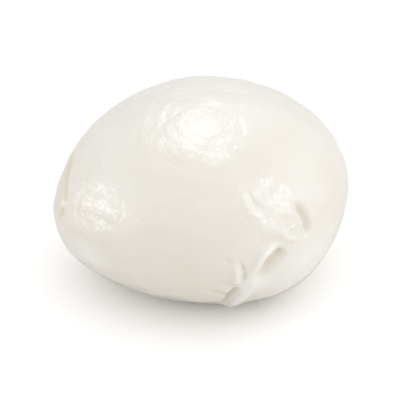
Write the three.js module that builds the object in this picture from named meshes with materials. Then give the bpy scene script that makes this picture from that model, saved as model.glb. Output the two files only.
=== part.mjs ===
// A fresh mozzarella ball of the 125 g size: a sagging, slightly egg-shaped drop of stretched curd,
// flat where it rests, with the puckered scar low on its front right where it was pinched off the curd.
// Millimetres, +Z up, front towards -Y. The origin is the middle of the ball's box, on the board.
//
// The surface is worked out in three steps, each a formula on directions from the ball's middle:
//   body   an ellipsoid with its fullness low, plus broad lobes and a faint unevenness;
//   folds  ridges, grooves and steps that follow short curves over the body;
//   foot   everything under the board's level is pressed flat, with a soft turn at its edge.

import * as THREE from "three";
import { mergeVertices } from "three/addons/utils/BufferGeometryUtils.js";

// Driving dimensions of the body.
const WIDTH = 70.2; // across X
const DEPTH = 66.8; // across Y
const CROWN_RISE = 24.8; // from the widest level up to the crown
const FOOT_DROP = 21.3; // from the widest level down to the board
const SAG = 0.056; // share by which the lower half is fuller, and the upper half leaner
const FOOT_TURN = 1.5; // height over which the underside turns into the flat foot
const BOX_SHIFT = [-0.04, -0.01]; // puts the middle of the finished box on the origin

// Mesh: an icosphere whose triangles are drawn together where the folds are.
// size: triangle size there, as a share of the even size. reach: radians of even sphere drawn in.
const DETAIL = 23; // 20 * (DETAIL + 1)^2 triangles
const DRAWN = [
  { towards: [22, -8], size: 0.45, reach: 2.0 }, // the front right
  { towards: [38, 16], size: 0.5, reach: 0.9 }, // the scar
  { towards: [-76, 6], size: 0.45, reach: 0.5 }, // the seam on the left
];
const TRACK_STEPS = 40; // straight steps along each fold's curve

// Broad lobes: [azimuth, elevation, spread in degrees, rise in mm]. Azimuth 0 is the front, 90 is +X.
const LOBES = {
  leftFlank: [-90, 0, 20, -1.05],
  leftHaunch: [-75, -19, 20, 1.9],
  leftCorner: [-84, -6, 6, 0.4],
  leftUnderside: [-51, -39, 20, -1],
  frontUnderside: [0, -52, 20, -0.9],
  rightFoot: [51, -39, 20, 1.9],
  rightUnderside: [75, -19, 20, -1.5],
  rightFlank: [93, 2, 20, 0.8],
  rightShoulder: [106, 26, 20, 1.05],
  backRightShoulder: [135, 40, 22, 1],
  backCrown: [180, 52, 20, 0.8],
  backLeftSlope: [-115, 30, 24, -0.8],
};

// Faint unevenness: a sum of waves along directions spread by the golden angle.
const WAVES = { count: 9, rise: 0.03, turns: 2.1, growth: 0.45 };
const GOLDEN_ANGLE = Math.PI * (3 - Math.sqrt(5));

// Folds. path: azimuths and elevations that the curve passes over, in degrees.
// left and right: [lift in mm, reach in mm] on each side of someone walking along the path.
// edge: half the width in mm over which one side turns into the other.
// fade: share of the path over which it starts and ends. lean: sideways shift to the left, in mm.
const FOLDS = {
  scarCrescent: {
    path: [[33.5, 24.5], [38.5, 19.5], [41, 13.5], [39.5, 9], [35, 7.5]],
    left: [-1.4, 2.0], right: [0.2, 1.0], edge: 0.7, fade: [0.3, 0.25], lean: 0.3,
  },
  scarBridge: {
    path: [[43, 13], [38, 12], [33, 10]],
    left: [0.25, 0.7], right: [0.25, 0.7], edge: 0.3, fade: [0.3, 0.3], lean: 0,
  },
  scarSill: {
    path: [[41, 3.5], [36.5, 5.5], [32, 8]],
    left: [0.4, 0.8], right: [0.4, 0.8], edge: 0.3, fade: [0.35, 0.3], lean: 0,
  },
  scarKnot: {
    path: [[29, 9.5], [34, 9]],
    left: [0.35, 1.1], right: [0.35, 1.1], edge: 0.3, fade: [0.4, 0.4], lean: 0,
  },
  scarPit: {
    path: [[31, 3.5], [28, 0], [23.5, -5], [19, -10]],
    left: [-1.6, 1.5], right: [-1.5, 1.3], edge: 0.5, fade: [0.15, 0.55], lean: 0,
  },
  strand: {
    path: [[32, 7.5], [23, 2.5], [18.5, -9], [17, -18]],
    left: [0.8, 1.0], right: [0.8, 1.0], edge: 0.4, fade: [0.6, 0.33], lean: 0,
  },
  strandHem: {
    path: [[18.5, -9], [17, -18], [14.5, -31], [13, -47]],
    left: [0.8, 2.4], right: [0.8, 1.0], edge: 0.4, fade: [0.33, 0.1], lean: 0,
  },
  strandCrease: {
    path: [[13.5, 2], [15.5, -6], [15.5, -13]],
    left: [-0.6, 0.9], right: [-0.6, 0.9], edge: 0.4, fade: [0.4, 0.3], lean: 0,
  },
  strandNotch: {
    path: [[14, -15], [11.5, -25], [9, -40]],
    left: [-1.4, 1.2], right: [-1.4, 1.2], edge: 0.4, fade: [0.3, 0.25], lean: 0,
  },
  tongue: {
    path: [[11, 2], [12.5, -7], [13, -15]],
    left: [0.7, 1.0], right: [0.7, 1.0], edge: 0.4, fade: [0.4, 0.3], lean: 0,
  },
  gatherHigh: {
    path: [[13.5, -17], [9, -13.5], [2, -9]],
    left: [-0.4, 0.9], right: [-0.3, 1.0], edge: 0.4, fade: [0.2, 0.6], lean: 0,
  },
  gatherLow: {
    path: [[11, -26], [6, -20], [-2, -14]],
    left: [-0.4, 1.0], right: [-0.3, 1.1], edge: 0.4, fade: [0.2, 0.6], lean: 0,
  },
  ridgeAbove: {
    path: [[16, 34], [19, 26], [23, 19], [26, 15]],
    left: [0.22, 1.0], right: [0.22, 1.6], edge: 0.4, fade: [0.4, 0.5], lean: 0,
  },
  valleyAbove: {
    path: [[18, 35], [22, 27], [26, 20]],
    left: [-0.25, 0.9], right: [-0.25, 0.9], edge: 0.4, fade: [0.4, 0.5], lean: 0,
  },
  shelfBelow: {
    path: [[17, 12], [24, 11], [32, 10.5]],
    left: [0, 2.5], right: [-0.3, 2.2], edge: 1.2, fade: [0.4, 0.3], lean: 0,
  },
  leftSeam: {
    path: [[-97, 27], [-84, 24], [-73, 17], [-68, 9], [-69, 1], [-77, -10]],
    left: [-1.1, 1.2], right: [-1.0, 1.5], edge: 0.6, fade: [0.3, 0.35], lean: 0,
  },
  leftCrease: {
    path: [[-50, 11], [-35, 0], [-24, -8]],
    left: [0.12, 1.2], right: [-0.15, 1.4], edge: 0.5, fade: [0.3, 0.3], lean: 0,
  },
};

const radians = THREE.MathUtils.degToRad;

// The unit direction at an azimuth and elevation in degrees.
function toward([azimuth, elevation]) {
  const level = Math.cos(radians(elevation));
  return new THREE.Vector3(
    level * Math.sin(radians(azimuth)),
    -level * Math.cos(radians(azimuth)),
    Math.sin(radians(elevation)),
  );
}

// Height of the faint unevenness in a direction: sines along axes that wind from pole to pole.
function waves(direction) {
  let height = 0;
  for (let k = 0; k < WAVES.count; k++) {
    const rise = 1 - (2 * k + 1) / WAVES.count;
    const level = Math.sqrt(1 - rise * rise);
    const along =
      direction.x * level * Math.cos(k * GOLDEN_ANGLE) +
      direction.y * level * Math.sin(k * GOLDEN_ANGLE) +
      direction.z * rise;
    const turns = WAVES.turns + WAVES.growth * k;
    height += WAVES.rise * Math.sin(2 * Math.PI * turns * along + k * k);
  }
  return height;
}

// The outward normal of the plain ellipsoid where a direction meets it.
function bodyNormal(direction) {
  return new THREE.Vector3(
    direction.x / (WIDTH / 2),
    direction.y / (DEPTH / 2),
    direction.z / CROWN_RISE,
  ).normalize();
}

// The body's surface in a direction: ellipsoid, fullness low down, lobes and unevenness.
function bodyPoint(direction) {
  const { x, y, z } = direction;
  const fullness = 1 - SAG * z * (1 - z * z);
  const point = new THREE.Vector3(
    (x * fullness * WIDTH) / 2,
    (y * fullness * DEPTH) / 2,
    z * CROWN_RISE,
  );
  let rise = waves(direction);
  for (const [azimuth, elevation, spread, lift] of Object.values(LOBES)) {
    const gap = 1 - direction.dot(toward([azimuth, elevation]));
    rise += lift * Math.exp(-gap / radians(spread) ** 2);
  }
  return point.addScaledVector(bodyNormal(direction), rise);
}

// A smooth step from 0 at low to 1 at high.
function smoothStep(value, low, high) {
  return THREE.MathUtils.smoothstep(value, low, high);
}

// A fold's curve over the body as points, each with its share of the way and its direction of travel.
function trackOf(fold) {
  const curve = new THREE.CatmullRomCurve3(
    fold.path.map((at) => bodyPoint(toward(at))),
    false,
    "catmullrom",
    0.5,
  );
  return curve.getPoints(TRACK_STEPS);
}

// How far a fold moves a point of the body: along the normal, and sideways by its lean.
function foldShift(fold, track, point, normal) {
  let best = { distance: Infinity };
  for (let i = 0; i < TRACK_STEPS; i++) {
    const step = track[i + 1].clone().sub(track[i]);
    const offset = point.clone().sub(track[i]);
    const share = THREE.MathUtils.clamp(offset.dot(step) / step.lengthSq(), 0, 1);
    offset.addScaledVector(step, -share);
    if (offset.length() < best.distance) {
      best = { distance: offset.length(), offset, step, along: (i + share) / TRACK_STEPS };
    }
  }
  const side = normal.clone().cross(best.step).normalize();
  const across = best.offset.dot(side);
  const overrun2 = Math.max(0, best.distance ** 2 - across ** 2);
  const [fadeIn, fadeOut] = fold.fade;
  const reach = Math.max(fold.left[1], fold.right[1]);
  const strength =
    smoothStep(best.along, 0, fadeIn) *
    smoothStep(1 - best.along, 0, fadeOut) *
    Math.exp(-overrun2 / reach ** 2);
  const bell = ([lift, width]) => lift * Math.exp(-((across / width) ** 2));
  const isLeft = smoothStep(across, -fold.edge, fold.edge);
  const lift = bell(fold.left) * isLeft + bell(fold.right) * (1 - isLeft);
  const lean = fold.lean * Math.exp(-((across / reach) ** 2));
  return normal
    .clone()
    .multiplyScalar(lift * strength)
    .addScaledVector(side, lean * strength);
}

// Presses what lies under the board's level flat, with a parabola as the turn.
function footHeight(height) {
  if (height > FOOT_TURN) return height;
  if (height < -FOOT_TURN) return 0;
  return (height + FOOT_TURN) ** 2 / (4 * FOOT_TURN);
}

// Draws a direction towards a centre, so that the even triangles of the sphere get small there.
function drawnIn(direction, { towards, size, reach }) {
  const centre = toward(towards);
  const angle = direction.angleTo(centre);
  if (angle < 1e-6) return centre;
  const near = (a) => reach * Math.tanh(a / reach);
  const far = (Math.PI - size * near(Math.PI)) / (Math.PI - near(Math.PI));
  const drawn = far * angle - (far - size) * near(angle);
  const across = direction.clone().addScaledVector(centre, -Math.cos(angle)).normalize();
  return centre.multiplyScalar(Math.cos(drawn)).addScaledVector(across, Math.sin(drawn));
}

function ballGeometry() {
  const even = new THREE.IcosahedronGeometry(1, DETAIL);
  even.deleteAttribute("normal");
  even.deleteAttribute("uv");
  const geometry = mergeVertices(even, 1e-5);
  const positions = geometry.getAttribute("position");
  const folds = Object.values(FOLDS).map((fold) => [fold, trackOf(fold)]);
  for (let i = 0; i < positions.count; i++) {
    const start = new THREE.Vector3().fromBufferAttribute(positions, i).normalize();
    const direction = DRAWN.reduce(drawnIn, start);
    const body = bodyPoint(direction);
    const normal = bodyNormal(direction);
    const point = body.clone();
    for (const [fold, track] of folds) point.add(foldShift(fold, track, body, normal));
    positions.setXYZ(
      i,
      point.x + BOX_SHIFT[0],
      point.y + BOX_SHIFT[1],
      footHeight(point.z + FOOT_DROP),
    );
  }
  geometry.computeVertexNormals();
  return geometry;
}

const curd = new THREE.MeshStandardMaterial({
  color: 0xefebe2,
  roughness: 0.3,
  metalness: 0,
});

const mozzarella = new THREE.Group();
const ball = new THREE.Mesh(ballGeometry(), curd);
ball.name = "mozzarella_ball";
mozzarella.add(ball);

export default mozzarella;
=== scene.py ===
"""A fresh mozzarella ball on a white table, laid out as an add-on and run as a script.

The ball's skin is one surface worked out with numpy on a polar grid whose pole lies in the pinch
scar: an ellipsoid that sags, with broad lobes, then folds that follow short curves over it, then
fine wrinkles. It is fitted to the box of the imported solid, whose main shapes it repeats.
"""

import bpy
import numpy as np
from bpy.props import FloatProperty, FloatVectorProperty, PointerProperty
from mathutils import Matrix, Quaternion, Vector


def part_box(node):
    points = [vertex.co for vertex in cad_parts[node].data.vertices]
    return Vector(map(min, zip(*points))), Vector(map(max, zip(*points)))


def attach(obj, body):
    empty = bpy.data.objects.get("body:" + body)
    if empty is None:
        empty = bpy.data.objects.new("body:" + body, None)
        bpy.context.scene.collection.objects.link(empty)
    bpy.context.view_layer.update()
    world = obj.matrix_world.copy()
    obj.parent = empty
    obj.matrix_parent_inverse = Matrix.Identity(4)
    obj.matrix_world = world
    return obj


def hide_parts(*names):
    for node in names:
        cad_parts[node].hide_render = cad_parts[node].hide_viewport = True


bl_info = {
    "name": "Mozzarella Ball",
    "version": (1, 0, 0),
    "blender": (4, 5, 0),
    "location": "View3D > Sidebar > Mozzarella",
    "description": "Makes a fresh mozzarella ball and the studio it is shown in",
    "category": "Add Mesh",
}

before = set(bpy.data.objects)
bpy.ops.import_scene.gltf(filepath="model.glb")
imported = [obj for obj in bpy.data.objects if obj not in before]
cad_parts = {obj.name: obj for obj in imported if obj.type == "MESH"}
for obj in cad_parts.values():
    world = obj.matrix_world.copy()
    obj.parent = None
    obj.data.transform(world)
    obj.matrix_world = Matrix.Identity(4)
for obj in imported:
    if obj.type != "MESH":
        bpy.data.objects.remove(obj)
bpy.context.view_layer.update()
NODE = "mozzarella_ball"
LOWEST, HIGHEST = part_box(NODE)
MM = 0.001

# ---------------------------------------------------------------------------------------------
# Sizes of the ball, in millimetres. Angles are in degrees: azimuth 0 is the front and 90 is +X.

HALF_WIDTH = 35.1
HALF_DEPTH = 33.4
CROWN_RISE = 24.8  # from the widest level up to the crown
FOOT_DROP = 21.3  # from the widest level down to the table
SAG = 0.056  # share by which the lower half is fuller, and the upper half leaner
FOOT_TURN = 1.5  # height over which the underside turns into the flat foot

# Broad lobes: azimuth, elevation, spread and how far they stand out, or sink in below 0.
LOBES = {
    "left flank": (-90, 0, 20, -1.05),
    "left haunch": (-75, -19, 20, 1.9),
    "left corner": (-84, -6, 6, 0.4),
    "left underside": (-51, -39, 20, -1),
    "front underside": (0, -52, 20, -0.9),
    "right foot": (51, -39, 20, 1.9),
    "right underside": (75, -19, 20, -1.5),
    "right flank": (93, 2, 20, 0.8),
    "right shoulder": (106, 26, 20, 1.05),
    "back right shoulder": (135, 40, 22, 1),
    "back crown": (180, 52, 20, 0.8),
    "back left slope": (-115, 30, 24, -0.8),
}

# Faint unevenness: waves along directions that wind from pole to pole by the golden angle.
WAVE_COUNT = 9
WAVE_RISE = 0.03
WAVE_TURNS = 2.1  # waves in one half width of the ball, along the first direction
WAVE_GROWTH = 0.45  # how many more there are along each next one
GOLDEN_ANGLE = np.pi * (3 - np.sqrt(5))

# Folds: the (azimuth, elevation) places that the curve passes over, then (lift, reach) of its left
# and of its right side, half the width over which one side turns into the other, and the shares of
# the way over which the fold starts and ends.
FOLDS = {
    "scar crescent": (
        ((38.5, 24.5), (41, 19.5), (42.5, 15), (43, 11), (41.8, 7.5), (38.2, 5.8)),
        (-1.2, 1.0), (-1.2, 0.85), 0.2, (0.3, 0.25),
    ),
    "scar bridge": (
        ((41.5, 12.5), (36.5, 12), (33, 10)),
        (0.12, 0.28), (0.12, 0.28), 0.1, (0.3, 0.3),
    ),
    "scar sill": (
        ((40, 3.7), (35, 6), (31, 8.3)),
        (0.2, 0.6), (0.2, 0.6), 0.2, (0.4, 0.3),
    ),
    "scar knot": (
        ((29, 9.5), (34, 9)),
        (0.25, 1.1), (0.25, 1.1), 0.3, (0.4, 0.4),
    ),
    "scar pit": (
        ((31, 3.6), (28.3, -0.4), (24.2, -4.6), (19.7, -10.6)),
        (-1.6, 1.35), (-1.5, 1.2), 0.3, (0.25, 0.62),
    ),
    "scar leaf": (
        ((28, -2.3), (24, -5.5), (19.5, -11.5)),
        (-0.45, 1.4), (-0.4, 1.2), 0.3, (0.5, 0.35),
    ),
    "strand": (
        ((32, 7.5), (23, 2.5), (18.5, -9), (17, -18)),
        (1.05, 0.9), (1.05, 0.8), 0.5, (0.4, 0.33),
    ),
    "strand hem": (
        ((18.5, -9), (17, -18), (14.5, -31), (13, -47)),
        (0.8, 2.4), (0.8, 1.0), 0.4, (0.33, 0.1),
    ),
    "strand crease": (
        ((13.5, 2), (15.5, -6), (15.5, -13)),
        (-0.6, 0.4), (-0.6, 0.4), 0.15, (0.4, 0.3),
    ),
    "strand notch": (
        ((14, -15), (11.5, -25), (9, -40)),
        (-1.5, 0.7), (-1.5, 0.7), 0.25, (0.3, 0.25),
    ),
    "tongue": (
        ((11, 2), (12.5, -7), (13, -15)),
        (0.8, 0.75), (0.8, 0.75), 0.2, (0.4, 0.3),
    ),
    "tongue nick": (
        ((8, 4), (12, -2.5)),
        (-0.25, 0.6), (-0.25, 0.6), 0.15, (0.4, 0.4),
    ),
    "gather high": (
        ((13.5, -17), (9, -13.5), (2, -9)),
        (-0.4, 0.7), (-0.3, 0.9), 0.3, (0.2, 0.6),
    ),
    "gather low": (
        ((11, -26), (6, -20), (-2, -14)),
        (-0.4, 0.7), (-0.3, 0.9), 0.3, (0.2, 0.6),
    ),
    "ridge above": (
        ((16, 34), (19, 26), (23, 19), (26, 15)),
        (0.22, 1.0), (0.22, 1.6), 0.4, (0.4, 0.5),
    ),
    "valley above": (
        ((18, 35), (22, 27), (26, 20)),
        (-0.25, 0.8), (-0.25, 0.8), 0.4, (0.4, 0.5),
    ),
    "shelf below": (
        ((17, 12), (24, 11), (32, 10.5)),
        (0, 2.5), (-0.12, 2.2), 1.2, (0.4, 0.3),
    ),
    "crown arc outer": (
        ((-127, 75), (-84, 71), (-56, 63.5), (-42, 55), (-35, 50)),
        (0.13, 0.7), (0.13, 0.7), 0.2, (0.3, 0.3),
    ),
    "crown arc inner": (
        ((-97, 81), (-59, 74), (-44, 66.5), (-32, 57)),
        (0.11, 0.7), (0.11, 0.7), 0.2, (0.3, 0.3),
    ),
    "crown arc right": (
        ((51, 73.5), (47.5, 67.5), (37.5, 60.5), (30, 52.5)),
        (0.11, 0.7), (0.11, 0.7), 0.2, (0.3, 0.3),
    ),
    "left seam": (
        ((-97, 27), (-84, 24), (-73, 17.5), (-66.5, 10), (-66, 2), (-73, -10)),
        (-1.1, 0.7), (-1.0, 0.8), 0.3, (0.3, 0.35),
    ),
    "left crease": (
        ((-50, 11), (-35, 0), (-24, -8)),
        (0.08, 1.0), (-0.09, 1.2), 0.5, (0.3, 0.3),
    ),
}
TRACK_STEPS = 40  # straight steps along a fold's curve
BELL_REACHES = 4  # past this many reaches from its curve, a fold lifts nothing

# Fine wrinkles run in circles round an axis: their size across, how much longer they are along the
# circles, and their rise.
WRINKLE_AXIS = (8, 66)
WRINKLES = ((2.4, 2.0, 0.055), (1.4, 1.7, 0.03))
# Folds that get more painted shade than their depth gives, by this factor.
PAINTED_SHADE_GAIN = {"left seam": 1.5, "scar leaf": 2.8}
# Patches of painted shade, as if deeper in a fold, and, where the depth is below 0, of painted
# light, as if higher on a ridge: azimuth, elevation, spread and depth.
PAINTED_PATCHES = (
    (-75, 5, 8, 1.2), (-83, 18, 8, 1.2), (-3, -14, 16, 0.75), (-14, 10, 12, 0.45),
    (-51, 12, 9, 0.6), (-86, 33, 10, 0.6), (34, 18, 6, 0.6),
    (45, -18, 17, -0.95), (19, -14, 5, -0.8), (-47, -11, 10, -0.8), (180, 58, 24, -0.6),
    (56, 67, 12, -0.3),
)
# Pleats drawn to a place: its azimuth and elevation, cells per radian round it, reach and rise.
PLEATS = ((33, 9, 11, 12, 0.035), (15, -15, 4, 12, 0.2))
# Columns that hang from a place: its azimuth and elevation, cells per radian round it, their length
# and rise, and the azimuth, elevation and spread of the patch that has them.
COLUMNS = (-88, 48, 12, 6, 0.1, -58, 9, 15)
PEEL = (2.2, 0.02)  # size and rise of the even unevenness, like orange peel

# Noise: each size of wrinkle, and each pleated place, takes the next seed after its first one.
PEEL_SEED = 11
WRINKLE_SEED = 12
PLEAT_SEED = 20
COLUMN_SEED = 31
NOISE_SLOPES = 256  # the noise repeats after this many cells
NOISE_GAIN = 1.6  # brings its heights to about -1 to 1
TINY = 1e-6  # keeps a length that divides off 0

# The wet film's crackle, which is too fine for the grid: dents, and grooves round small cells, as
# (count per metre, depth). Upwards, their count is a share of the count across, so they are drawn
# out. The patches where the film is crackled most: azimuth, elevation, spread and strength.
DENTS = ((600, 0.2), (1600, 0.09))
CELLS = (900, 0.025)
UPWARD_SHARE = 0.45
GROOVE_SHARE = 0.12  # half the width of a groove, as a share of a cell
CRACKLED = (
    (-12, 66, 20, 1.4), (-43, 19, 17, 1.15), (27, 25, 13, 1.15), (-69, 6, 5, 0.4),
    (34, 8, 6, 1.2), (21, -4, 6, 0.8),
    (125, 30, 20, 1.0), (180, 35, 25, 1.0), (-125, 30, 20, 1.0),
)
CRACKLE_ELSEWHERE = 0.12
UNDER_SHARE = 0.3  # share of the film's crackle that the curd under it has

# Grid: rings round the scar's middle, drawn together there, and spokes out of it.
SCAR = (23, -3)
RINGS = 232
SPOKES = 416
SCAR_SPACING = 0.28  # ring spacing at the scar, as a share of the even one
SCAR_REACH = 0.95  # radians of even rings that are drawn in


# ---------------------------------------------------------------------------------------------
# The surface


def toward(azimuth, elevation):
    """Unit directions: cosine of the elevation round the upright axis, sine of it along."""
    a, e = np.radians(azimuth), np.radians(elevation)
    return np.stack([np.cos(e) * np.sin(a), -np.cos(e) * np.cos(a), np.sin(e)], axis=-1)


def normalised(vectors):
    """Each vector over its own length."""
    return vectors / np.linalg.norm(vectors, axis=-1, keepdims=True)


def axes_at(azimuth, elevation):
    """The direction out to a place, the level one to its right, and the one square to both."""
    out = toward(azimuth, elevation)
    right = normalised(np.cross((0, 0, 1), out))
    return out, right, np.cross(out, right)


def smooth_step(values, low, high):
    """3t^2 - 2t^3 of the share t of the way from low to high, held at its ends."""
    t = np.clip((values - low) / (high - low), 0, 1)
    return t * t * (3 - 2 * t)


def drawn_in(ring):
    """The part of a ring's angle that is drawn in: r*tanh(a/r), with r the reach."""
    return SCAR_REACH * np.tanh(ring / SCAR_REACH)


def scar_grid():
    """Directions on rings round the scar and spokes out of it, with a pole at each end.

    Even ring angle a becomes f*a - (f - s)*r*tanh(a/r), whose slope is s at the scar and f far
    from it; f makes the rings end on the opposite pole. A spoke turns round the scar's axis.
    """
    far = (np.pi - SCAR_SPACING * drawn_in(np.pi)) / (np.pi - drawn_in(np.pi))
    even = np.linspace(0, np.pi, RINGS + 2)
    ring = (far * even - (far - SCAR_SPACING) * drawn_in(even))[1:-1, None, None]
    spoke = np.linspace(0, 2 * np.pi, SPOKES, endpoint=False)[None, :, None]
    axis, right, up = axes_at(*SCAR)
    round_axis = np.cos(spoke) * right + np.sin(spoke) * up
    rings = np.cos(ring) * axis + np.sin(ring) * round_axis
    return np.concatenate([[axis], rings.reshape(-1, 3), [-axis]])


def grid_faces():
    """Quads between neighbouring rings, and a fan of triangles at each pole, wound outwards."""
    ring = np.arange(RINGS - 1)[:, None] * SPOKES
    spoke = np.arange(SPOKES)[None, :]
    after = (spoke + 1) % SPOKES
    quads = np.stack(
        [1 + ring + spoke, 1 + ring + SPOKES + spoke, 1 + ring + SPOKES + after, 1 + ring + after],
        axis=-1,
    ).reshape(-1, 4)
    last_ring = 1 + (RINGS - 1) * SPOKES
    last = last_ring + SPOKES
    fan = np.arange(SPOKES)
    turn = (fan + 1) % SPOKES
    near_fan = np.stack([np.zeros_like(fan), 1 + fan, 1 + turn], axis=-1)
    far_fan = np.stack([np.full_like(fan, last), last_ring + turn, last_ring + fan], axis=-1)
    return quads, np.concatenate([near_fan, far_fan])


def waves(directions):
    """Sum over k of a sine of the direction's part along the k-th winding axis."""
    height = np.zeros(len(directions))
    for k in range(WAVE_COUNT):
        rise = 1 - (2 * k + 1) / WAVE_COUNT
        level = np.sqrt(1 - rise * rise)
        axis = (level * np.cos(k * GOLDEN_ANGLE), level * np.sin(k * GOLDEN_ANGLE), rise)
        turns = WAVE_TURNS + WAVE_GROWTH * k
        height += WAVE_RISE * np.sin(2 * np.pi * turns * (directions @ axis) + k * k)
    return height


def body_normal(directions):
    """The normal of the plain ellipsoid: each part of the direction over its half axis."""
    return normalised(directions / (HALF_WIDTH, HALF_DEPTH, CROWN_RISE))


def patch(directions, azimuth, elevation, spread):
    """A round patch: the exponential of minus (1 - cosine of the gap) over spread squared."""
    gap = 1 - directions @ toward(azimuth, elevation)
    return np.exp(-gap / np.radians(spread) ** 2)


def body_surface(directions):
    """Ellipsoid times 1 - sag*z*(1 - z^2) across, moved along its normal by lobes and waves."""
    upward = directions[:, 2:]
    fullness = 1 - SAG * upward * (1 - upward**2)
    points = directions * (HALF_WIDTH, HALF_DEPTH, CROWN_RISE)
    points[:, :2] *= fullness
    rise = waves(directions)
    for azimuth, elevation, spread, lift in LOBES.values():
        rise += lift * patch(directions, azimuth, elevation, spread)
    return points + body_normal(directions) * rise[:, None]


def track_of(path):
    """A Catmull-Rom curve through the body's points under the path, as evenly timed points."""
    places = body_surface(toward(*np.array(path, float).T))
    first, last = 2 * places[0] - places[1], 2 * places[-1] - places[-2]
    padded = np.concatenate([[first], places, [last]])
    time = np.linspace(0, len(places) - 1, TRACK_STEPS + 1)
    span = np.minimum(time.astype(int), len(places) - 2)
    t = (time - span)[:, None]
    before, start, end, after = (padded[span + k] for k in range(4))
    return 0.5 * (
        2 * start
        + (end - before) * t
        + (2 * before - 5 * start + 4 * end - after) * t**2
        + (3 * start - before - 3 * end + after) * t**3
    )


def fold_lift(fold, points, normals):
    """How far a fold lifts each point along its normal.

    With s the distance to the left of the curve, this is lift times the bell exp(-(s/reach)^2),
    whose lift and reach change over from the right side's to the left side's in a smooth step,
    times a smooth start and end.
    """
    path, left, right, edge, fade = fold
    track = track_of(path)
    reach = max(left[1], right[1])
    close = np.full(len(points), np.inf)
    offset, step, along = np.zeros_like(points), np.ones_like(points), np.zeros(len(points))
    middle = track.mean(axis=0)
    span = np.linalg.norm(track - middle, axis=1).max() + BELL_REACHES * reach
    near = np.flatnonzero(np.linalg.norm(points - middle, axis=1) < span)
    for i, (start, way) in enumerate(zip(track[:-1], np.diff(track, axis=0))):
        gap = points[near] - start
        share = np.clip(gap @ way / (way @ way), 0, 1)
        gap -= share[:, None] * way
        distance = np.linalg.norm(gap, axis=1)
        nearer = distance < close[near]
        chosen = near[nearer]
        close[chosen] = distance[nearer]
        offset[chosen] = gap[nearer]
        step[chosen] = way
        along[chosen] = (i + share[nearer]) / TRACK_STEPS
    side = normalised(np.cross(normals, step))
    across = np.sum(offset * side, axis=1)
    overrun = np.where(np.isfinite(close), np.maximum(0, close**2 - across**2), np.inf)
    strength = (
        smooth_step(along, 0, fade[0])
        * smooth_step(1 - along, 0, fade[1])
        * np.exp(-overrun / reach**2)
    )
    is_left = smooth_step(across, -edge, edge)
    bells = [lift * np.exp(-((across / width) ** 2)) for lift, width in (left, right)]
    return strength * (bells[0] * is_left + bells[1] * (1 - is_left))


def lattice_noise(places, seed):
    """Gradient noise: a seeded random slope at each corner of a unit lattice, blended over the
    cell by 6t^5 - 15t^4 + 10t^3 along each side. Runs from about -1 to 1."""
    chance = np.random.default_rng(seed)
    order = chance.permutation(NOISE_SLOPES)
    slopes = normalised(chance.normal(size=(NOISE_SLOPES, 3)))
    cell = np.floor(places).astype(int)
    part = places - cell
    blend = part**3 * (part * (6 * part - 15) + 10)
    height = np.zeros(len(places))
    for corner in np.ndindex(2, 2, 2):
        x, y, z = ((cell + corner) % NOISE_SLOPES).T
        column = order[(order[x] + y) % NOISE_SLOPES]
        slope = slopes[order[(column + z) % NOISE_SLOPES]]
        weight = np.prod(np.where(corner, blend, 1 - blend), axis=1)
        height += weight * np.sum(slope * (part - corner), axis=1)
    return height * NOISE_GAIN


def from_middle(points):
    """The way to each point of the ball from the middle of its height."""
    return points - (0, 0, 0.5 * points[:, 2].max())


def skin_places(points):
    """Places on the skin in mm, laid out for wrinkles: the arc from the wrinkle axis, and the two
    distances square to that axis, whose change follows the circles round it."""
    axis, right, up = axes_at(*WRINKLE_AXIS)
    spoke = from_middle(points)
    distance = np.linalg.norm(spoke, axis=1)
    arc = np.arccos(np.clip(spoke @ axis / distance, -1, 1)) * HALF_DEPTH
    return np.stack([arc, spoke @ right, spoke @ up], axis=1)


def streaks(points, place, count, length, seed):
    """Noise of the way round a place, with count cells per radian, and of the distance from it, in
    cells of a length: streaks that run towards the place. Comes with the distance."""
    axis, right, up = axes_at(*place)
    centre = points[np.argmax(normalised(from_middle(points)) @ axis)]
    spoke = points - centre
    distance = np.linalg.norm(spoke, axis=1)
    across = np.stack([spoke @ right, spoke @ up], axis=1)
    round_place = across / np.maximum(np.linalg.norm(across, axis=1, keepdims=True), TINY)
    noise = lattice_noise(np.column_stack([round_place * count, distance / length]), seed)
    return noise, distance


def wrinkle_height(points):
    """An even noise for the orange peel; noise that is finer across the circles round the wrinkle
    axis than along them, in two sizes; the pleats' streaks times t*exp(1 - t), with t three times
    the distance over the reach; and the columns' streaks times their patch."""
    size, rise = PEEL
    height = rise * lattice_noise(points / size, PEEL_SEED)
    skin = skin_places(points)
    for seed, (size, stretch, rise) in enumerate(WRINKLES, WRINKLE_SEED):
        height += rise * lattice_noise(skin / (size, size * stretch, size * stretch), seed)
    for seed, (azimuth, elevation, count, reach, rise) in enumerate(PLEATS, PLEAT_SEED):
        noise, distance = streaks(points, (azimuth, elevation), count, reach, seed)
        t = 3 * distance / reach
        height += rise * noise * t * np.exp(1 - t)
    azimuth, elevation, count, length, rise, *flank = COLUMNS
    noise = streaks(points, (azimuth, elevation), count, length, COLUMN_SEED)[0]
    return height + rise * noise * patch(normalised(from_middle(points)), *flank)


def pressed_on_table(points):
    """Heights above the table. What is under it goes flat, with the parabola (z + r)^2 / 4r as the
    turn, where r is the height of the turn."""
    height = points[:, 2] + FOOT_DROP
    turn = (height + FOOT_TURN) ** 2 / (4 * FOOT_TURN)
    flat = np.where(height > FOOT_TURN, height, np.where(height < -FOOT_TURN, 0, turn))
    return np.column_stack([points[:, :2], flat])


def fitted_to_box(points, lowest, highest):
    """Each axis stretched and moved evenly, so that the points just fill the box."""
    low, high = points.min(axis=0), points.max(axis=0)
    share = (points - low) / (high - low)
    return np.array(lowest) + share * (np.array(highest) - np.array(lowest))


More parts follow.
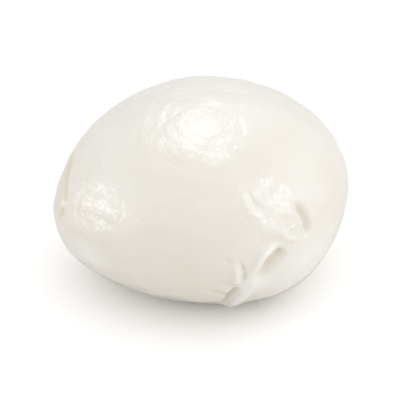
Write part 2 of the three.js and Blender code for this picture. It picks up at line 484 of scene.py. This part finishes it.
def ball_surface(lowest, highest):
    """Points of the ball, the depth of painted shade on each in mm, and how crackled its film is.

    The folds lift the body, which is pressed flat on the table and fitted to the box. Then the
    wrinkles lift it, times the crackle and a smooth step that keeps them off the foot. The depth
    is below 0, and stands for painted light, on ridges and pale patches.
    """
    directions = scar_grid()
    body = body_surface(directions)
    normals = body_normal(directions)
    shift = np.zeros_like(body)
    painted_shade_and_light = np.zeros(len(body))
    for name, fold in FOLDS.items():
        lift = fold_lift(fold, body, normals)
        shift += normals * lift[:, None]
        # A fold's depth becomes painted shade in the curd's colour, and a ridge's height painted
        # light.
        painted_shade_and_light -= lift * PAINTED_SHADE_GAIN.get(name, 1)
    # Patches of painted shade, and of painted light where their depth is below 0.
    for azimuth, elevation, spread, depth in PAINTED_PATCHES:
        painted_shade_and_light += depth * patch(directions, azimuth, elevation, spread)
    crackle = np.full(len(body), CRACKLE_ELSEWHERE)
    for azimuth, elevation, spread, strength in CRACKLED:
        crackle += strength * patch(directions, azimuth, elevation, spread)
    points = pressed_on_table(body + shift)
    settled = fitted_to_box(points, lowest, highest)
    relief = wrinkle_height(points) * crackle * smooth_step(points[:, 2], 0, 2 * FOOT_TURN)
    settled += normals * relief[:, None] * MM
    return settled, painted_shade_and_light, crackle


# ---------------------------------------------------------------------------------------------
# Materials

# Faint clouds in the curd's white, and the noise's heights between which one white goes over to the
# other. Painted shade: depths between which the white goes over to the folds' warm colour, and how
# far at most. Painted light: depths below 0 between which it goes over to the ridges' pale one.
CLOUDS = {"Scale": 55.0, "Detail": 3.0, "Roughness": 0.5}
CLOUD_HEIGHTS = (0.35, 0.65)
PAINTED_SHADE_DEPTHS = (0.3, 3.9)
MOST_PAINTED_SHADE = 0.9
PAINTED_LIGHT_DEPTHS = (-0.15, -0.8)
CURD_FINISH = {
    "Roughness": 0.38,
    "IOR": 1.42,
    "Coat Weight": 0.8,
    "Coat Roughness": 0.04,
    "Coat IOR": 1.34,
}
DENT_DETAIL = 1.0
NODE_SPACING = (200, -260)  # from one column and row of the shader editor to the next
CRACKLE_ROW = 2  # first row of the crackle's nodes there


def feed(tree, target, inputs):
    """Links each input of a node that is given a socket, and sets each that is given a value."""
    for name, source in inputs.items():
        if isinstance(source, bpy.types.NodeSocket):
            tree.links.new(source, target.inputs[name])
        else:
            target.inputs[name].default_value = source


def node(tree, kind, place, inputs, **settings):
    """A shader node at a column and row, with its settings and what its inputs are fed."""
    made = tree.nodes.new(kind)
    made.location = (place[0] * NODE_SPACING[0], place[1] * NODE_SPACING[1])
    for name, value in settings.items():
        setattr(made, name, value)
    feed(tree, made, inputs)
    return made


def share_between(tree, place, value, low, high, most=1.0):
    """How far a value is on the way from low to high, held at the ends, times most."""
    inputs = {"Value": value, "From Min": low, "From Max": high, "To Max": most}
    return node(tree, "ShaderNodeMapRange", place, inputs).outputs["Result"]


def mixed(tree, place, share, first, second):
    """A colour that goes over from the first to the second by a share."""
    inputs = {"Factor": share, "A": first, "B": second}
    return node(tree, "ShaderNodeMix", place, inputs, data_type="RGBA").outputs["Result"]


def maths(tree, place, operation, *terms):
    """The result of an operation on sockets or numbers."""
    inputs = dict(enumerate(terms))
    return node(tree, "ShaderNodeMath", place, inputs, operation=operation).outputs[0]


def attribute(tree, place, name):
    """The values that an attribute of the mesh has."""
    return node(tree, "ShaderNodeAttribute", place, {}, attribute_name=name).outputs["Fac"]


def crackle_heights(tree, where):
    """The heights of the film's dents and of the grooves round its cells, each with its depth."""
    stretch = {0: where, 1: (1, 1, UPWARD_SHARE)}
    place = (-6, CRACKLE_ROW)
    stretched = node(tree, "ShaderNodeVectorMath", place, stretch, operation="MULTIPLY")
    drawn_up = stretched.outputs["Vector"]
    heights = []
    for row, (count, depth) in enumerate(DENTS, CRACKLE_ROW):
        inputs = {"Vector": drawn_up, "Scale": count, "Detail": DENT_DETAIL}
        dents = node(tree, "ShaderNodeTexNoise", (-4, row), inputs)
        heights.append((dents.outputs["Fac"], depth))
    count, depth = CELLS
    row = CRACKLE_ROW + len(DENTS)
    inputs = {"Vector": drawn_up, "Scale": count}
    cells = node(tree, "ShaderNodeTexVoronoi", (-5, row), inputs, feature="DISTANCE_TO_EDGE")
    grooves = share_between(tree, (-4, row), cells.outputs["Distance"], 0, GROOVE_SHARE)
    heights.append((grooves, depth))
    return heights


def crackled_normal(tree, column, heights, strength, share):
    """The normal after a chain of bumps, one for each height, with a share of its depth."""
    below = {}
    for row, (height, depth) in enumerate(heights, CRACKLE_ROW):
        inputs = {"Height": height, "Strength": strength, "Distance": share * depth * MM, **below}
        normal = node(tree, "ShaderNodeBump", (column, row), inputs).outputs["Normal"]
        below = {"Normal": normal}
    return normal


def curd_material(colours):
    """Wet, white curd: clouds of two whites, with warm painted shade in the folds and pale painted
    light on the ridges, under a crackled film of brine. The curd itself has a share of the film's
    crackle."""
    material = bpy.data.materials.new("fresh curd")
    material.use_nodes = True
    tree = material.node_tree
    where = node(tree, "ShaderNodeTexCoord", (-7, 0), {}).outputs["Object"]

    clouds = node(tree, "ShaderNodeTexNoise", (-5, -1), {"Vector": where, **CLOUDS})
    creaminess = share_between(tree, (-4, -1), clouds.outputs["Fac"], *CLOUD_HEIGHTS)
    tone = mixed(tree, (-3, -1), creaminess, (*colours.curd, 1), (*colours.cream, 1))
    painted_shade_and_light = attribute(tree, (-5, 0), "painted_shade_and_light")
    # Painted light: the white goes over to the ridges' pale one where the depth is below 0.
    painted_light = share_between(tree, (-4, 0), painted_shade_and_light, *PAINTED_LIGHT_DEPTHS)
    tone = mixed(tree, (-2, -1), painted_light, tone, (*colours.ridge, 1))
    # Painted shade: the white goes over to the folds' warm colour where the painted shade is deep.
    painted_shade = share_between(tree, (-4, 1), painted_shade_and_light, *PAINTED_SHADE_DEPTHS, MOST_PAINTED_SHADE)
    tone = mixed(tree, (-1, -1), painted_shade, tone, (*colours.fold, 1))

    heights = crackle_heights(tree, where)
    crackle = attribute(tree, (-4, CRACKLE_ROW + len(heights)), "crackle")
    film = crackled_normal(tree, -3, heights, crackle, 1.0)
    under = crackled_normal(tree, -2, heights, crackle, UNDER_SHARE)
    inputs = {"Base Color": tone, "Normal": under, "Coat Normal": film, **CURD_FINISH}
    feed(tree, tree.nodes["Principled BSDF"], inputs)
    return material


def table_material(studio):
    """A white table that throws less light back at the ball than it shows to the camera."""
    material = bpy.data.materials.new("white table")
    material.use_nodes = True
    tree = material.node_tree
    tree.nodes.remove(tree.nodes["Principled BSDF"])
    shown = {"Color": (*[studio.table_shown] * 3, 1)}
    bounced = {"Color": (*studio.table_bounce, 1)}
    is_seen = node(tree, "ShaderNodeLightPath", (-1, -1), {}).outputs["Is Camera Ray"]
    seen = node(tree, "ShaderNodeBsdfDiffuse", (-1, 1), shown).outputs["BSDF"]
    bounce = node(tree, "ShaderNodeBsdfDiffuse", (-1, 2), bounced).outputs["BSDF"]
    surface = node(tree, "ShaderNodeMixShader", (0, 0), {0: is_seen, 1: bounce, 2: seen})
    feed(tree, tree.nodes["Material Output"], {"Surface": surface.outputs["Shader"]})
    return material


# ---------------------------------------------------------------------------------------------
# Settings


class MozzarellaSize(bpy.types.PropertyGroup):
    """Sizes of the ball. Its shape is stretched to them."""

    width: FloatProperty(
        name="Width",
        description="Size from left to right",
        default=HIGHEST.x - LOWEST.x,
        min=0.01,
        subtype="DISTANCE",
        unit="LENGTH",
    )
    depth: FloatProperty(
        name="Depth",
        description="Size from front to back",
        default=HIGHEST.y - LOWEST.y,
        min=0.01,
        subtype="DISTANCE",
        unit="LENGTH",
    )
    height: FloatProperty(
        name="Height",
        description="Height of the crown above the table",
        default=HIGHEST.z - LOWEST.z,
        min=0.01,
        subtype="DISTANCE",
        unit="LENGTH",
    )


class MozzarellaColours(bpy.types.PropertyGroup):
    """Colours of the curd, and of the shade and light painted on it."""

    curd: FloatVectorProperty(
        name="Curd",
        description="Main white of the curd",
        default=(0.912, 0.882, 0.825),
        min=0,
        max=1,
        subtype="COLOR",
    )
    cream: FloatVectorProperty(
        name="Cream",
        description="Creamier white of its clouds",
        default=(0.882, 0.845, 0.77),
        min=0,
        max=1,
        subtype="COLOR",
    )
    # Painted light: the white that the curd takes on ridges and pale patches.
    ridge: FloatVectorProperty(
        name="Ridges",
        description="Palest white, on the raised folds",
        default=(0.98, 0.96, 0.918),
        min=0,
        max=1,
        subtype="COLOR",
    )
    # Painted shade: the warm white that the curd takes deep in folds and in shaded patches.
    fold: FloatVectorProperty(
        name="Folds",
        description="Warm white deep in the folds",
        default=(0.68, 0.58, 0.34),
        min=0,
        max=1,
        subtype="COLOR",
    )


class MozzarellaStudio(bpy.types.PropertyGroup):
    """The studio that the ball is shown in."""

    table_bounce: FloatVectorProperty(
        name="Table Bounce",
        description="Colour of the light that the table throws back at the ball",
        default=(0.83, 0.815, 0.79),
        min=0,
        max=1,
        subtype="COLOR",
    )
    table_shown: FloatProperty(
        name="Table Shown",
        description="Share of the light on the table that the camera sees",
        default=1.17,
        min=0,
    )
    sky: FloatProperty(
        name="Sky",
        description="Strength of the even white light from all round",
        default=0.63,
        min=0,
    )


# ---------------------------------------------------------------------------------------------
# Operators


class MOZZARELLA_OT_ball(bpy.types.Operator):
    """Makes the ball of curd, with its scar, seams and wet skin"""

    bl_idname = "mozzarella.ball"
    bl_label = "Mozzarella Ball"

    def execute(self, context):
        size = context.scene.mozzarella_size
        middle = (LOWEST + HIGHEST) / 2
        half = Vector((size.width, size.depth, 0)) / 2
        lowest = Vector((middle.x, middle.y, LOWEST.z)) - half
        highest = lowest + Vector((size.width, size.depth, size.height))
        points, painted_shade_and_light, crackle = ball_surface(lowest, highest)
        quads, triangles = grid_faces()
        mesh = bpy.data.meshes.new("ball skin")
        mesh.from_pydata(points, [], quads.tolist() + triangles.tolist())
        # The painted shade and light, and the crackle, go on the mesh as attributes.
        for name, values in (("painted_shade_and_light", painted_shade_and_light), ("crackle", crackle)):
            mesh.attributes.new(name, "FLOAT", "POINT").data.foreach_set("value", values)
        mesh.shade_smooth()
        mesh.materials.append(curd_material(context.scene.mozzarella_colours))
        ball = bpy.data.objects.new("ball_skin", mesh)
        context.collection.objects.link(ball)
        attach(ball, "root")
        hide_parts(NODE)
        return {"FINISHED"}


# Glint lights, which are only mirrored in the wet skin: azimuth and elevation of the middle, width
# and height in m, turn in degrees and brightness.
LIGHT_DISTANCE = 0.9
GLINTS = {
    "overhead glint": (-178, 68, 0.22, 0.45, 0, 8),
    "left glint": (-79, 14.5, 0.6, 0.17, 22, 6.3),
    "right glint": (61, 33.5, 0.2, 0.3, -20, 9),
}
# Soft glows in the white all round: azimuth, elevation and brightness.
GLOWS = {
    "ceiling": (0, 88, 0.29),
    "right": (85, 25, 0.52),
    "left": (-85, 25, 0.29),
    "front right": (42, 30, 0.16),
    "front left": (-42, 30, 0.06),
    "back right": (130, 35, 0.26),
    "high front": (0, 58, 0.10),
    "high left": (-90, 58, 0.34),
    "high back": (180, 58, 0.30),
    "low right": (72, 5, 1.0),
    "low left": (-75, 8, 0.36),
}
GLOW_SPREAD = 19  # degrees
WHITE = (1, 1, 1, 1)
CAMERA_ELEVATION = 30
CAMERA_DISTANCE = 0.244
CAMERA_LENS = 90
CAMERA_AIM = (-0.00025, 0.0, 0.0182)
CAMERA_NEAR = 0.01  # nothing closer than this is shown
TABLE_SIZE = 6.0


class MOZZARELLA_OT_studio(bpy.types.Operator):
    """Makes the white table, the white all round, the glint lights and the camera"""

    bl_idname = "mozzarella.studio"
    bl_label = "Studio"

    def execute(self, context):
        studio = context.scene.mozzarella_studio
        self.make_table(context, studio)
        self.make_sky(context, studio)
        for name, box in GLINTS.items():
            self.make_glint(context, name, *box)
        self.make_camera(context)
        context.scene.view_settings.view_transform = "Standard"
        return {"FINISHED"}

    def make_table(self, context, studio):
        """A square, flat top at height 0."""
        half = TABLE_SIZE / 2
        corners = [(-half, -half, 0), (half, -half, 0), (half, half, 0), (-half, half, 0)]
        mesh = bpy.data.meshes.new("table")
        mesh.from_pydata(corners, [], [(0, 1, 2, 3)])
        mesh.materials.append(table_material(studio))
        table = bpy.data.objects.new("table", mesh)
        context.collection.objects.link(table)

    def make_sky(self, context, studio):
        """Even white plus, for each glow, its brightness times exp((c - 1) / spread^2), with c the
        cosine of the angle to it. The camera sees full white behind the table."""
        world = bpy.data.worlds.new("studio white")
        world.use_nodes = True
        tree = world.node_tree
        way = node(tree, "ShaderNodeTexCoord", (-6, 0), {}).outputs["Generated"]
        sharpness = 1 / np.radians(GLOW_SPREAD) ** 2
        total = studio.sky
        for row, (azimuth, elevation, brightness) in enumerate(GLOWS.values()):
            ways = {0: way, 1: toward(azimuth, elevation)}
            facing = node(tree, "ShaderNodeVectorMath", (-5, row), ways, operation="DOT_PRODUCT")
            cosine = facing.outputs["Value"]
            power = maths(tree, (-4, row), "MULTIPLY_ADD", cosine, sharpness, -sharpness)
            glow = maths(tree, (-3, row), "EXPONENT", power)
            total = maths(tree, (-2, row), "MULTIPLY_ADD", glow, brightness, total)
        is_seen = node(tree, "ShaderNodeLightPath", (-2, -2), {}).outputs["Is Camera Ray"]
        strength = maths(tree, (-1, 0), "MAXIMUM", total, is_seen)
        feed(tree, tree.nodes["Background"], {"Color": WHITE, "Strength": strength})
        context.scene.world = world

    def make_glint(self, context, name, azimuth, elevation, width, height, turn, brightness):
        """A lamp that faces the ball, with a power of its brightness times pi times its area."""
        light = bpy.data.lights.new(name, "AREA")
        light.shape = "RECTANGLE"
        light.size = width
        light.size_y = height
        light.energy = brightness * np.pi * width * height
        lamp = bpy.data.objects.new(name, light)
        away = Vector(toward(azimuth, elevation))
        lamp.location = away * LIGHT_DISTANCE
        turned = Quaternion((0, 0, 1), np.radians(turn))
        lamp.rotation_euler = (away.to_track_quat("Z", "Y") @ turned).to_euler()
        lamp.visible_camera = False
        lamp.visible_diffuse = False
        context.collection.objects.link(lamp)

    def make_camera(self, context):
        """A camera in front of the ball that looks down at it."""
        camera = bpy.data.objects.new("camera", bpy.data.cameras.new("camera"))
        camera.data.lens = CAMERA_LENS
        away = Vector(toward(0, CAMERA_ELEVATION))
        camera.location = Vector(CAMERA_AIM) + away * CAMERA_DISTANCE
        camera.rotation_euler = away.to_track_quat("Z", "Y").to_euler()
        camera.data.clip_start = CAMERA_NEAR
        context.collection.objects.link(camera)
        context.scene.camera = camera


class MOZZARELLA_PT_panel(bpy.types.Panel):
    """Sizes, colours and operators of the mozzarella ball"""

    bl_idname = "MOZZARELLA_PT_panel"
    bl_label = "Mozzarella Ball"
    bl_space_type = "VIEW_3D"
    bl_region_type = "UI"
    bl_category = "Mozzarella"

    def draw(self, context):
        layout = self.layout
        scene = context.scene
        for group in (scene.mozzarella_size, scene.mozzarella_colours, scene.mozzarella_studio):
            column = layout.column(align=True)
            for name in group.__annotations__:
                column.prop(group, name)
        layout.operator(MOZZARELLA_OT_ball.bl_idname)
        layout.operator(MOZZARELLA_OT_studio.bl_idname)


CLASSES = (
    MozzarellaSize,
    MozzarellaColours,
    MozzarellaStudio,
    MOZZARELLA_OT_ball,
    MOZZARELLA_OT_studio,
    MOZZARELLA_PT_panel,
)


def register():
    for cls in CLASSES:
        bpy.utils.register_class(cls)
    bpy.types.Scene.mozzarella_size = PointerProperty(type=MozzarellaSize)
    bpy.types.Scene.mozzarella_colours = PointerProperty(type=MozzarellaColours)
    bpy.types.Scene.mozzarella_studio = PointerProperty(type=MozzarellaStudio)


def unregister():
    del bpy.types.Scene.mozzarella_studio
    del bpy.types.Scene.mozzarella_colours
    del bpy.types.Scene.mozzarella_size
    for cls in reversed(CLASSES):
        bpy.utils.unregister_class(cls)


def main():
    register()
    bpy.ops.mozzarella.ball()
    bpy.ops.mozzarella.studio()


if __name__ == "__main__":
    main()
